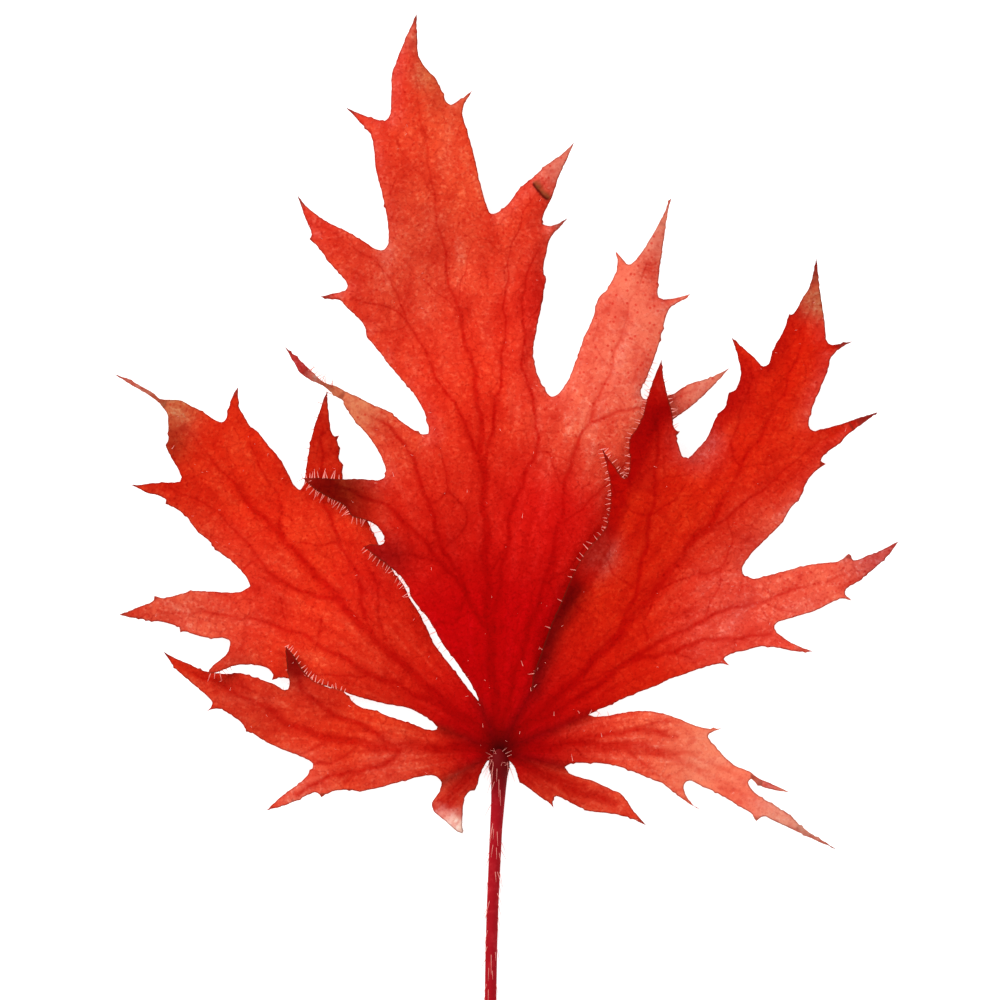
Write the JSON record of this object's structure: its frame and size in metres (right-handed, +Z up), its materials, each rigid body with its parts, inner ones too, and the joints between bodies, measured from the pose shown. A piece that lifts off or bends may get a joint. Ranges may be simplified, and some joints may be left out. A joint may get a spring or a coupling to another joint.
{
  "type": "coral bells leaf",
  "caption": "A picked leaf lying face up: a thin waved blade cut into toothed, pointed lobes that partly overlap, with ribs under it, on a cut stalk.",
  "frame": {"origin": "the middle of the leaf's bounding box seen from above, on the surface that it lies on", "axes": "+Y from the stalk's cut end to the tip of the central lobe, +X to the right seen from above, +Z up out of the blade's upper face"},
  "size_m": [0.09, 0.1288, 0.0066],
  "materials": {
    "leaf": "satin"
  },
  "bodies": {
    "root": {"leaf": "leaf"}
  },
  "joints": []
}
